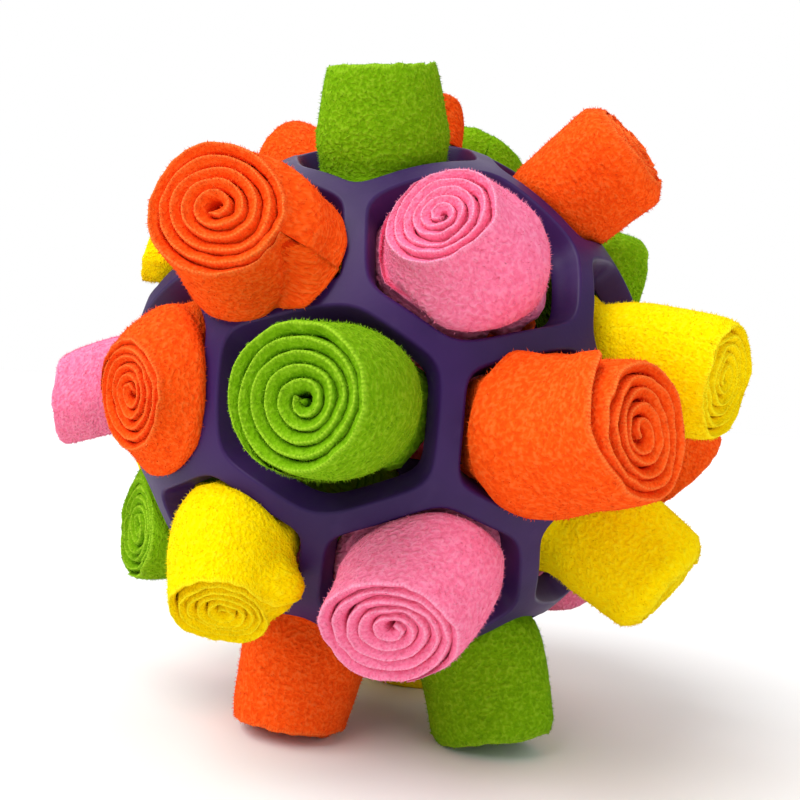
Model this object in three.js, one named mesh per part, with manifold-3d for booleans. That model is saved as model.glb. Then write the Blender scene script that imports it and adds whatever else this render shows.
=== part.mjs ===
// Dog snuffle ball: a soft rubber lattice ball with a rolled strip of fleece pushed into each opening.
// Millimetres and degrees. +Z is up, the viewer stands at -Y, and the ball rests on three rolls at z = 0.
import * as THREE from "three";
import { mergeVertices } from "three/addons/utils/BufferGeometryUtils.js";
import Module from "manifold-3d";

const wasm = await Module();
wasm.setup();

// Driving dimensions of the lattice ball
const BALL_RADIUS = 57;
const WALL = 6;
const STRUT_FACE = 5;
const STRUT_ROOT = 6.8;
const LIP_HEIGHT = 0.94;
const CORNER_PART = 0.28;
const CORNER_STEPS = 2;
const SPHERE_DETAIL = 5;
const REST_HEIGHT = 69.4;

// Driving dimensions of the rolls: distances from the ball's centre, and the strip's thickness
const ROLL_ROOT = 41.5;
const THROAT_INNER = LIP_HEIGHT * (BALL_RADIUS - WALL);
const THROAT_OUTER = LIP_HEIGHT * BALL_RADIUS;
const ROOT_SHRINK = 0.9;
const FIT_GAP = 0.4;
const PRESSED_IN = 1;
const FLEECE = 2.2;
const FULL_STEP_RADIUS = 14;
const RIM_ROUNDING = 1.2;
const SECTION_POINTS = 15;
const SEAM_STEP = 0.35;
const FACING_PART = 0.9;

// How far each opening's cutting shape reaches, in ball radii, and how deep the resting surface's block is
const CUT_FROM = 0.7;
const CUT_TO = 1.1;
const SURFACE_DEPTH = 40;
const WELD = 1e-4;

// Lattice directions: one five-sided opening by its turn about Z and rise, and the next five-sided one
const FIRST_PENTAGON = { turn: -32.1, rise: -62 };
const SECOND_PENTAGON = { turn: -63.5, rise: -3 };

// Colours and finish
const COLOURS = {
  orange: 0xff642b,
  green: 0x7ab51d,
  pink: 0xf786ae,
  yellow: 0xfbe100,
};
const RUBBER_COLOUR = 0x3c2a66;

// One row for each roll. turn and rise find its opening. reach is how far the end stands from the ball's
// centre along the opening's axis, and across and up move it sideways. footAcross and footUp move the
// roll in its opening, and bend is the height at which its axis turns from the opening to the end. tip and
// body are radii at the end and above the lattice. seam is the angle at which the strip's outer end lies,
// and wind is 1 where the strip runs on from there with rising angles, or -1
const ROLLS = [
  { name: "front", colour: "green", turn: -101, rise: -1, reach: 73.5, across: -1.3, up: 1.7, bend: 65,
    footAcross: 2.8, footUp: 1.1, tip: 14.2, body: 15.3, seam: 262, wind: -1 },
  { name: "upper_front", colour: "pink", turn: -74, rise: 33, reach: 66, across: -9.3, up: -2.6, bend: 57.5,
    footAcross: -2.4, footUp: -2.6, tip: 11.4, body: 15.4, seam: 100, wind: 1 },
  { name: "right_front", colour: "orange", turn: -64, rise: -3, reach: 76, across: 9, up: 4.6, bend: 59,
    footAcross: 2.8, footUp: 0, tip: 13.7, body: 15.6, seam: 114, wind: 1 },
  { name: "lower_front", colour: "pink", turn: -79, rise: -38, reach: 67.5, across: -8.3, up: 2, bend: 57.5,
    footAcross: -1.6, footUp: 3, tip: 13.8, body: 15, seam: 300, wind: 1 },
  { name: "upper_left", colour: "orange", turn: -119, rise: 32, reach: 72, across: 0.45, up: -7.9, bend: 59,
    footAcross: -0.5, footUp: -3, tip: 13.7, body: 15.2, seam: 350, wind: -1 },
  { name: "lower_left", colour: "yellow", turn: -124, rise: -31, reach: 69, across: 5.8, up: -4.3, bend: 57.5,
    footAcross: 2.4, footUp: 0.5, tip: 10.6, body: 13.8, seam: 340, wind: 1 },
  { name: "left", colour: "orange", turn: -142, rise: 2, reach: 64, across: 4.4, up: -4.6, bend: 57.5,
    footAcross: 3.2, footUp: -3.2, tip: 11.4, body: 15.6, seam: 175, wind: -1 },
  { name: "top", colour: "green", turn: -112, rise: 69, reach: 71.5, across: 2.5, up: 0.8, bend: 60,
    footAcross: 1, footUp: -0.6, tip: 12.4, body: 14.2, seam: 60, wind: 1 },
  { name: "upper_right", colour: "orange", turn: -32, rise: 54, reach: 74, across: 5, up: -7.9, bend: 58,
    footAcross: 2, footUp: -3.6, tip: 13.8, body: 13.4, seam: 80, wind: 1 },
  { name: "right", colour: "yellow", turn: -31, rise: 17, reach: 73.3, across: 0.5, up: -12, bend: 57.5,
    footAcross: 0, footUp: -3.4, tip: 13.4, body: 14.4, seam: 150, wind: 1 },
  { name: "lower_right", colour: "yellow", turn: -31, rise: -25, reach: 72.9, across: 1.7, up: -0.6, bend: 60,
    footAcross: 0.3, footUp: 0.5, tip: 12.8, body: 13.8, seam: 60, wind: 1 },
  { name: "foot_front", colour: "green", turn: -32, rise: -62, reach: 75.4, across: -1.5, up: -2.5, bend: 59,
    footAcross: 0, footUp: 0, tip: 13.6, body: 14.2, seam: 20, wind: 1 },
  { name: "foot_left", colour: "orange", turn: -132, rise: -69, reach: 73.2, across: 1.5, up: -1, bend: 59,
    footAcross: 0, footUp: 0, tip: 12.8, body: 14.4, seam: 300, wind: 1 },
  { name: "lower_left_edge", colour: "green", turn: -169, rise: -32, reach: 61.8, across: 0, up: 2, bend: 59,
    footAcross: 0, footUp: 0, tip: 12.4, body: 13.8, seam: 230, wind: 1 },
  { name: "left_edge", colour: "pink", turn: 180, rise: 4, reach: 71.5, across: 0.5, up: -10, bend: 59,
    footAcross: 0, footUp: -3.5, tip: 11.8, body: 12.8, seam: 80, wind: 1 },
  { name: "upper_left_edge", colour: "yellow", turn: -165, rise: 38, reach: 60.5, across: -4, up: -8, bend: 58,
    footAcross: -1.5, footUp: -4.5, tip: 12, body: 13.6, seam: 310, wind: 1 },
  { name: "top_back", colour: "orange", turn: 148, rise: 62, reach: 65.2, across: 1.5, up: -7, bend: 59,
    footAcross: 0, footUp: -1, tip: 11.6, body: 12.4, seam: 215, wind: 1 },
  { name: "top_back_right", colour: "green", turn: 48, rise: 69, reach: 66, across: -1, up: -0.5, bend: 59,
    footAcross: 0, footUp: 0, tip: 12, body: 13.2, seam: 140, wind: 1 },
  { name: "upper_right_edge", colour: "green", turn: 11, rise: 32, reach: 61.5, across: 0, up: -3, bend: 58,
    footAcross: 0, footUp: 0, tip: 12.4, body: 13.8, seam: 35, wind: 1 },
  { name: "right_edge", colour: "orange", turn: 0, rise: -4, reach: 68.2, across: 0, up: -6.5, bend: 59,
    footAcross: 0, footUp: 0, tip: 11.4, body: 12.6, seam: 280, wind: 1 },
  { name: "lower_right_edge", colour: "pink", turn: 15, rise: -38, reach: 63.5, across: 0.5, up: -1.5, bend: 59,
    footAcross: 0, footUp: 0, tip: 11, body: 12.8, seam: 190, wind: 1 },
  { name: "foot_back", colour: "yellow", turn: 68, rise: -69, reach: 74.0, across: 0, up: 6, bend: 59,
    footAcross: 0, footUp: 1.5, tip: 13, body: 14, seam: 330, wind: 1 },
  { name: "lower_back_left", colour: "pink", turn: 148, rise: -55, reach: 64.5, across: 2, up: 3, bend: 59,
    footAcross: 0, footUp: 0, tip: 11.2, body: 12.6, seam: 65, wind: 1 },
  { name: "back_left_upper", colour: "green", turn: 149, rise: 25, reach: 66, across: 3, up: -3, bend: 59,
    footAcross: 0, footUp: 0, tip: 12.2, body: 13.8, seam: 160, wind: 1 },
  { name: "back_left_lower", colour: "yellow", turn: 149, rise: -17, reach: 69, across: -3, up: 2, bend: 59,
    footAcross: 0, footUp: 0, tip: 12.4, body: 13.9, seam: 290, wind: 1 },
  { name: "back_right", colour: "yellow", turn: 38, rise: -1, reach: 70, across: 3, up: 3, bend: 59,
    footAcross: 0, footUp: 0, tip: 12.5, body: 14, seam: 15, wind: 1 },
  { name: "back_upper_right", colour: "orange", turn: 56, rise: 31, reach: 71, across: -3, up: -4, bend: 59,
    footAcross: 0, footUp: 0, tip: 11.4, body: 12.8, seam: 205, wind: 1 },
  { name: "back_lower_right", colour: "orange", turn: 61, rise: -32, reach: 70.5, across: 4, up: 2, bend: 59,
    footAcross: 0, footUp: 0, tip: 11.2, body: 12.7, seam: 120, wind: 1 },
  { name: "back_upper", colour: "yellow", turn: 101, rise: 38, reach: 71, across: 3, up: 2, bend: 59,
    footAcross: 0, footUp: 0, tip: 12.3, body: 13.9, seam: 250, wind: 1 },
  { name: "back_lower", colour: "green", turn: 106, rise: -33, reach: 71, across: -2, up: -3, bend: 59,
    footAcross: 0, footUp: 0, tip: 12.4, body: 13.8, seam: 45, wind: 1 },
  { name: "back_left", colour: "orange", turn: 116, rise: 3, reach: 71, across: -4, up: 2, bend: 59,
    footAcross: 0, footUp: 0, tip: 11.3, body: 12.8, seam: 340, wind: 1 },
  { name: "back", colour: "pink", turn: 79, rise: 1, reach: 74, across: 2, up: -5, bend: 59,
    footAcross: 0, footUp: 0, tip: 12.4, body: 14, seam: 95, wind: 1 },
];

// Rolls whose end doesn't face the way that it leans: how far the end faces across and up
const FACINGS = {
  upper_left: { across: 0.5, up: -0.22 },
  front: { across: -0.34, up: -0.01 },
  right_front: { across: 0.27, up: 0.22 },
  lower_front: { across: -0.28, up: 0.06 },
  lower_left: { across: 0.44, up: -0.31 },
  left: { across: 0.16, up: -0.17 },
  upper_left_edge: { across: -0.2, up: -0.35 },
  left_edge: { across: 0, up: -0.15 },
};

// The soft lattice is pushed out of true by its rolls: how far each front junction sits from its even place
const PUSHED_JUNCTIONS = [
  { between: ["front", "upper_left", "upper_front"], across: 0.8, up: -2.6 },
  { between: ["front", "upper_left", "left"], across: -4.6, up: 0.8 },
  { between: ["front", "left", "lower_left"], across: -2, up: -1.2 },
  { between: ["front", "lower_left", "lower_front"], across: 0.2, up: 1.4 },
  { between: ["front", "lower_front", "right_front"], across: 1.4, up: 0 },
  { between: ["upper_front", "right_front", "right"], across: 5, up: 0.8 },
  { between: ["upper_front", "upper_right", "right"], across: 4, up: -1.4 },
  { between: ["upper_front", "upper_left", "top"], across: -1.6, up: -4 },
  { between: ["upper_front", "upper_right", "top"], across: 4.5, up: 2.5 },
  { between: ["upper_left", "top", "upper_left_edge"], across: 3, up: 2 },
  { between: ["lower_front", "right_front", "lower_right"], across: -1.4, up: 1 },
  { between: ["lower_front", "foot_front", "lower_right"], across: 1.2, up: 3 },
  { between: ["lower_front", "lower_left", "foot_left"], across: 0.6, up: 3.4 },
  { between: ["left", "lower_left", "lower_left_edge"], across: -4, up: 1.8 },
];

// The loose end of the strip in top_back stands on edge behind the top roll, from left to right
const LOOSE_END = [
  { x: -19.6, y: 5.2, bottom: 55.4, top: 66 },
  { x: -9, y: -1.2, bottom: 58, top: 68.4 },
  { x: 3, y: -0.8, bottom: 58.6, top: 69 },
  { x: 9.4, y: 0.6, bottom: 57.6, top: 68 },
  { x: 10.8, y: 1.4, bottom: 56.6, top: 64.6 },
];

const RADIANS = Math.PI / 180;
const GOLDEN_RISE = Math.atan(0.5);
const PENTAGONS = 12;
const PENTAGONS_TOUCH = 0.4;

function direction(turn, rise) {
  const level = Math.cos(rise * RADIANS);
  return new THREE.Vector3(
    level * Math.cos(turn * RADIANS),
    level * Math.sin(turn * RADIANS),
    Math.sin(rise * RADIANS),
  );
}

// Level and upward directions on the ball's surface at a unit direction
function tangents(outward) {
  const across = new THREE.Vector3(-outward.y, outward.x, 0).normalize();
  return { across, up: new THREE.Vector3().crossVectors(outward, across) };
}

// The twelve five-sided openings' directions, as an icosahedron turned to the first two of them
function pentagonDirections() {
  const pole = direction(FIRST_PENTAGON.turn, FIRST_PENTAGON.rise);
  const second = direction(SECOND_PENTAGON.turn, SECOND_PENTAGON.rise);
  const side = second.addScaledVector(pole, -second.dot(pole)).normalize();
  const third = new THREE.Vector3().crossVectors(pole, side);
  const directions = [pole.clone(), pole.clone().negate()];
  const between = PENTAGONS - 2;
  for (let i = 0; i < between; i += 1) {
    const angle = (i / between) * 2 * Math.PI;
    const rise = i % 2 === 0 ? GOLDEN_RISE : -GOLDEN_RISE;
    const ring = new THREE.Vector3()
      .addScaledVector(side, Math.cos(angle) * Math.cos(rise))
      .addScaledVector(third, Math.sin(angle) * Math.cos(rise))
      .addScaledVector(pole, Math.sin(rise));
    directions.push(ring);
  }
  return directions;
}

// The lattice: 32 cells, and 60 junctions that each join three of them
function buildLattice() {
  const corners = pentagonDirections();
  const near = (a, b) => a !== b && a.dot(b) > PENTAGONS_TOUCH;
  const cells = corners.map((centre) => ({ centre: centre.clone(), junctions: [] }));
  const junctions = [];
  for (let a = 0; a < PENTAGONS; a += 1) {
    for (let b = a + 1; b < PENTAGONS; b += 1) {
      for (let c = b + 1; c < PENTAGONS; c += 1) {
        const trio = [corners[a], corners[b], corners[c]];
        if (near(trio[0], trio[1]) && near(trio[1], trio[2]) && near(trio[0], trio[2])) {
          const centre = trio[0].clone().add(trio[1]).add(trio[2]).normalize();
          cells.push({ centre, junctions: [] });
        }
      }
    }
  }
  for (const a of corners) {
    for (const b of corners.filter((other) => near(a, other))) {
      const place = a.clone().multiplyScalar(2).add(b).normalize();
      const joined = cells.slice().sort((p, q) => q.centre.dot(place) - p.centre.dot(place)).slice(0, 3);
      const junction = { place, joined };
      junctions.push(junction);
      joined.forEach((cell) => cell.junctions.push(junction));
    }
  }
  return { cells, junctions };
}

// Gives each roll the cell nearest to its direction, and moves the pushed junctions
function fitRollsToCells(lattice) {
  for (const roll of ROLLS) {
    const wanted = direction(roll.turn, roll.rise);
    roll.cell = lattice.cells.reduce((a, b) => (b.centre.dot(wanted) > a.centre.dot(wanted) ? b : a));
    roll.cell.name = roll.name;
  }
  for (const push of PUSHED_JUNCTIONS) {
    const between = (place) => push.between.every((name) => place.joined.some((cell) => cell.name === name));
    const junction = lattice.junctions.find(between);
    const { across, up } = tangents(junction.place);
    junction.place
      .addScaledVector(across, push.across / BALL_RADIUS)
      .addScaledVector(up, push.up / BALL_RADIUS)
      .normalize();
  }
}

// A closed solid through rings of points with the same count, with a centre point on each end
function loft(rings, startCentre, endCentre) {
  const count = rings[0].length;
  const points = [...rings.flat(), startCentre, endCentre];
  const start = points.length - 2;
  const end = points.length - 1;
  const faces = [];
  for (let i = 0; i < count; i += 1) {
    const next = (i + 1) % count;
    faces.push(start, next, i);
    const last = (rings.length - 1) * count;
    faces.push(end, last + i, last + next);
    for (let r = 0; r + 1 < rings.length; r += 1) {
      const a = r * count;
      const b = a + count;
      faces.push(a + i, a + next, b + next);
      faces.push(a + i, b + next, b + i);
    }
  }
  return new THREE.BufferGeometry().setFromPoints(points).setIndex(faces);
}

function toSolid(geometry) {
  const bare = geometry.clone();
  bare.deleteAttribute("normal");
  bare.deleteAttribute("uv");
  const merged = mergeVertices(bare, WELD);
  return new wasm.Manifold(
    new wasm.Mesh({
      numProp: 3,
      vertProperties: new Float32Array(merged.attributes.position.array),
      triVerts: new Uint32Array(merged.index.array),
    }),
  );
}

function toGeometry(solid) {
  const mesh = solid.getMesh();
  return new THREE.BufferGeometry()
    .setAttribute("position", new THREE.BufferAttribute(mesh.vertProperties, 3))
    .setIndex(new THREE.BufferAttribute(mesh.triVerts, 1));
}

// A cell's opening on the plane at a height along its axis: inset by half a strut, with round corners.
// The struts grow wider towards the inside of the ball, so that the moulding leaves its mould
function openingOutline(cell, height, margin) {
  const { across, up } = tangents(cell.centre);
  const flat = cell.junctions.map(({ place }) => {
    const scale = height / place.dot(cell.centre);
    return new THREE.Vector2(place.dot(across) * scale, place.dot(up) * scale);
  });
  flat.sort((a, b) => a.angle() - b.angle());
  const depth = (THROAT_OUTER - height) / (THROAT_OUTER - THROAT_INNER);
  const inset = THREE.MathUtils.lerp(STRUT_FACE, STRUT_ROOT, depth) / 2 + margin;
  const lines = flat.map((from, i) => {
    const along = flat[(i + 1) % flat.length].clone().sub(from).normalize();
    const inward = new THREE.Vector2(-along.y, along.x);
    return { from: from.clone().addScaledVector(inward, inset), along };
  });
  const corners = lines.map((line, i) => {
    const before = lines[(i + lines.length - 1) % lines.length];
    const reach = line.from.clone().sub(before.from).cross(line.along) / before.along.cross(line.along);
    return before.from.clone().addScaledVector(before.along, reach);
  });
  return corners.flatMap((corner, i) => {
    const before = corners[(i + corners.length - 1) % corners.length];
    const after = corners[(i + 1) % corners.length];
    const start = corner.clone().lerp(before, CORNER_PART);
    const end = corner.clone().lerp(after, CORNER_PART);
    return new THREE.QuadraticBezierCurve(start, corner, end).getPoints(CORNER_STEPS);
  });
}

// A point on the plane at a height along a direction, moved sideways on it
function onPlane(outward, height, x, y) {
  const { across, up } = tangents(outward);
  return outward.clone().multiplyScalar(height).addScaledVector(across, x).addScaledVector(up, y);
}

function openingSolid(cell, margin) {
  const heights = [BALL_RADIUS * CUT_FROM, BALL_RADIUS * CUT_TO];
  const rings = heights.map((height) =>
    openingOutline(cell, height, margin).map((p) => onPlane(cell.centre, height, p.x, p.y)),
  );
  const ends = heights.map((height) => cell.centre.clone().multiplyScalar(height));
  return toSolid(loft(rings, ends[0], ends[1]));
}

// The rubber lattice: a hollow ball with one tapered opening in each cell, made thicker by a margin
function latticeBall(lattice, margin) {
  const outside = toSolid(new THREE.IcosahedronGeometry(BALL_RADIUS + margin, SPHERE_DETAIL));
  const inside = toSolid(new THREE.IcosahedronGeometry(BALL_RADIUS - WALL - margin, SPHERE_DETAIL));
  const openings = lattice.cells.map((cell) => openingSolid(cell, margin));
  return openings.reduce((shell, opening) => shell.subtract(opening), outside.subtract(inside));
}

// The round hole that fits in a cell's opening at the lattice's inner side: its centre and radius
function roundFit(cell) {
  const outline = openingOutline(cell, THROAT_INNER, 0);
  const centre = outline.reduce((sum, p) => sum.add(p), new THREE.Vector2()).divideScalar(outline.length);
  const distances = outline.map((p, i) => {
    const along = outline[(i + 1) % outline.length].clone().sub(p).normalize();
    return Math.abs(along.cross(centre.clone().sub(p)));
  });
  return { centre, radius: Math.min(...distances) };
}

// A roll's outline: one turn of the strip, whose outer end makes a step of one thickness at the seam
function rollRing(centre, across, up, radius, { seam, wind }) {
  const ring = [];
  for (let i = 0; i < SECTION_POINTS; i += 1) {
    const part = i / (SECTION_POINTS - 1);
    const angle = seam * RADIANS + wind * part * (2 * Math.PI - SEAM_STEP);
    const distance = radius - FLEECE * part * Math.min(1, radius / FULL_STEP_RADIUS);
    ring.push(
      centre
        .clone()
        .addScaledVector(across, distance * Math.cos(angle))
        .addScaledVector(up, distance * Math.sin(angle)),
    );
  }
  return wind > 0 ? ring : ring.reverse();
}

// The way that a roll with a row in FACINGS faces, at a part of its length above the lattice
function turnedFacing(roll, part) {
  const turned = FACINGS[roll.name];
  if (!turned) {
    return undefined;
  }
  const share = THREE.MathUtils.smoothstep(part, 0, FACING_PART);
  return onPlane(roll.cell.centre, 1, turned.across * share, turned.up * share).normalize();
}

// One wound roll: straight through its opening, bulging above the lattice, then leaning out to its end
function rollSolid(roll) {
  const axis = roll.cell.centre;
  const fit = roundFit(roll.cell);
  const slide = fit.centre.divideScalar(THROAT_INNER);
  const foot = (height) => {
    const out = THREE.MathUtils.smoothstep(height, THROAT_INNER, THROAT_OUTER);
    const x = slide.x * height + roll.footAcross * out;
    const y = slide.y * height + roll.footUp * out;
    return onPlane(axis, height, x, y);
  };
  const tip = onPlane(axis, roll.reach, roll.across, roll.up);
  const path = new THREE.QuadraticBezierCurve3(foot(THROAT_OUTER), foot(roll.bend), tip);
  const throat = fit.radius + PRESSED_IN;
  const stations = [
    { centre: foot(ROLL_ROOT), facing: axis, radius: throat * ROOT_SHRINK },
    { centre: foot(THROAT_INNER), facing: axis, radius: throat },
    { centre: foot(THROAT_OUTER), facing: axis, radius: throat },
  ];
  const above = [
    { part: 0.35, radius: roll.body },
    { part: 0.7, radius: (roll.body + roll.tip) / 2 },
    { part: 0.93, radius: roll.tip },
    { part: 1, radius: roll.tip - RIM_ROUNDING },
  ];
  for (const { part, radius } of above) {
    const facing = turnedFacing(roll, part) ?? path.getTangent(part);
    stations.push({ centre: path.getPoint(part), facing, radius });
  }
  const rings = stations.map(({ centre, facing, radius }) => {
    const level = tangents(axis).across;
    level.addScaledVector(facing, -level.dot(facing)).normalize();
    const upward = new THREE.Vector3().crossVectors(facing, level);
    return rollRing(centre, level, upward, radius, roll);
  });
  return toSolid(loft(rings, stations[0].centre, stations[stations.length - 1].centre));
}

// The loose end: the strip's full thickness, standing on edge through the table's stations
function looseEndSolid() {
  const rings = LOOSE_END.map(({ x, y, bottom, top }, i) => {
    const before = LOOSE_END[Math.max(0, i - 1)];
    const after = LOOSE_END[Math.min(LOOSE_END.length - 1, i + 1)];
    const side = new THREE.Vector3(before.y - after.y, after.x - before.x, 0).setLength(FLEECE / 2);
    const low = new THREE.Vector3(x, y, bottom);
    const high = new THREE.Vector3(x, y, top);
    return [
      low.clone().add(side),
      high.clone().add(side),
      high.clone().sub(side),
      low.clone().sub(side),
    ];
  });
  const middle = ({ x, y, bottom, top }) => new THREE.Vector3(x, y, (bottom + top) / 2);
  return toSolid(loft(rings, middle(LOOSE_END[0]), middle(LOOSE_END[LOOSE_END.length - 1])));
}

// What the surface under the ball flattens: everything below z = 0
function belowSurface() {
  const block = new THREE.BoxGeometry(4 * BALL_RADIUS, 4 * BALL_RADIUS, SURFACE_DEPTH);
  return toSolid(block.translate(0, 0, -SURFACE_DEPTH / 2 - REST_HEIGHT));
}

function fleeceMesh(name, solid, colour) {
  const material = new THREE.MeshStandardMaterial({ color: COLOURS[colour], roughness: 0.95, metalness: 0 });
  const mesh = new THREE.Mesh(toGeometry(solid), material);
  mesh.name = name;
  return mesh;
}

const lattice = buildLattice();
fitRollsToCells(lattice);

const ball = new THREE.Mesh(
  toGeometry(latticeBall(lattice, 0)),
  new THREE.MeshStandardMaterial({ color: RUBBER_COLOUR, roughness: 0.42, metalness: 0 }),
);
ball.name = "lattice_ball";

const part = new THREE.Group();
part.position.z = REST_HEIGHT;
part.add(ball);

// Each roll stays a little clear of the rubber, and is flat where it stands
const keptClear = latticeBall(lattice, FIT_GAP).add(belowSurface());
for (const roll of ROLLS) {
  part.add(fleeceMesh(`roll_${roll.name}`, rollSolid(roll).subtract(keptClear), roll.colour));
}
part.add(fleeceMesh("loose_end_top_back", looseEndSolid(), "orange"));

export default part;
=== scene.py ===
import math

import bpy
import numpy as np
from mathutils import Matrix, Vector, noise
from mathutils.bvhtree import BVHTree


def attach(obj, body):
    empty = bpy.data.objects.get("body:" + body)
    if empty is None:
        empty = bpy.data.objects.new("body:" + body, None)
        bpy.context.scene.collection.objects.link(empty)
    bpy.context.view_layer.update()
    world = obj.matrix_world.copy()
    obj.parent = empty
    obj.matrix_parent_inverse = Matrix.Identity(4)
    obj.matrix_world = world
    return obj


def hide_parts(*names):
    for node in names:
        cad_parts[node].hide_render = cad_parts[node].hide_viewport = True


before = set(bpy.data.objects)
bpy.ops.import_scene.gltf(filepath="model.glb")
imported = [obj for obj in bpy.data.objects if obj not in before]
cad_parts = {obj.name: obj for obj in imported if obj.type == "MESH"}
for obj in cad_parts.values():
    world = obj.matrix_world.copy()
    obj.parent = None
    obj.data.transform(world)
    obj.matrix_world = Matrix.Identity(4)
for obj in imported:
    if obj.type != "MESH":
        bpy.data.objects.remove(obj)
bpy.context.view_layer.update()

# Dog snuffle ball: a soft rubber lattice ball with a rolled strip of fleece pushed into each opening.
# Sizes are in millimetres from the ball's centre, and meshes are made in metres.
MM = 0.001

# The lattice ball, the height of its centre and where two neighbouring five-sided openings face. Its
# struts are wider at their root, in the hollow, than on their face.
BALL_RADIUS = 57.0
WALL = 6.0
STRUT_FACE = 5.0
STRUT_ROOT = 6.8
LIP_HEIGHT = 0.94
LIP_ROUNDING = 0.8
LIP_ANGLE = 38
SIDE_CUTS = 2
REST_HEIGHT = 69.4
FIRST_PENTAGON = {"turn": -32.1, "rise": -62}
SECOND_PENTAGON = {"turn": -63.5, "rise": -3}

# How the middle of an opening is found: the steps taken, their length and how soft the sides are to them
MIDDLE_STEPS = 60
MIDDLE_STRIDE = 0.1
MIDDLE_SOFTNESS = 0.3

# Heights from the ball's centre: where a roll begins, and where it enters and leaves its opening's walls
ROLL_ROOT = 41.5
THROAT_INNER = LIP_HEIGHT * (BALL_RADIUS - WALL)
THROAT_OUTER = LIP_HEIGHT * BALL_RADIUS
THROAT_LENGTH = THROAT_OUTER - ROLL_ROOT

# How an opening holds its roll. Below the pressed heights the cloth is pushed out to the rubber, and above
# them it only keeps off the walls. Past the ball's surface its room grows fast.
ROOT_SHRINK = 0.9
ROOT_EASING = 4
PRESSED_IN = 1.0
PRESSED_HEIGHTS = (48.4, 50.6)
SQUEEZE_POWER = 9
CONTACT_GAP = 0.1
WALL_GAP = 0.4
LEAST_SPREAD = 0.05
ROOM_GROWTH = 5
PAST_WALL = 4
FAR_OFF = 1e3

# The strip of fleece that each roll is wound from, and the winding
STRIP_THICK = 2.2
PITCH = 2.3
CORE_RADIUS = 0.8
CORE_OVAL = 0.12
CORE_DRIFT = 1.1
WOUND_RADIUS = 14.15
STITCH = 0.62

# The strip's outer end: the lengths over which it tapers, slips down, is cut round and stands off, and how
# thin it tapers
TAPER = 19.0
SLIP_LENGTH = 27.0
END_ROUNDING = 2.4
END_CORNER = 3.6
FLAP_LENGTH = 14
THINNEST = 0.05

# Lengths over which a roll comes free of its opening and over which its rim strays, and how far its body
# is from round
BODY_FREE = 5
END_FREE = 12
BODY_OVAL = 0.028
BODY_LUMPS = 0.016

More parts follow.
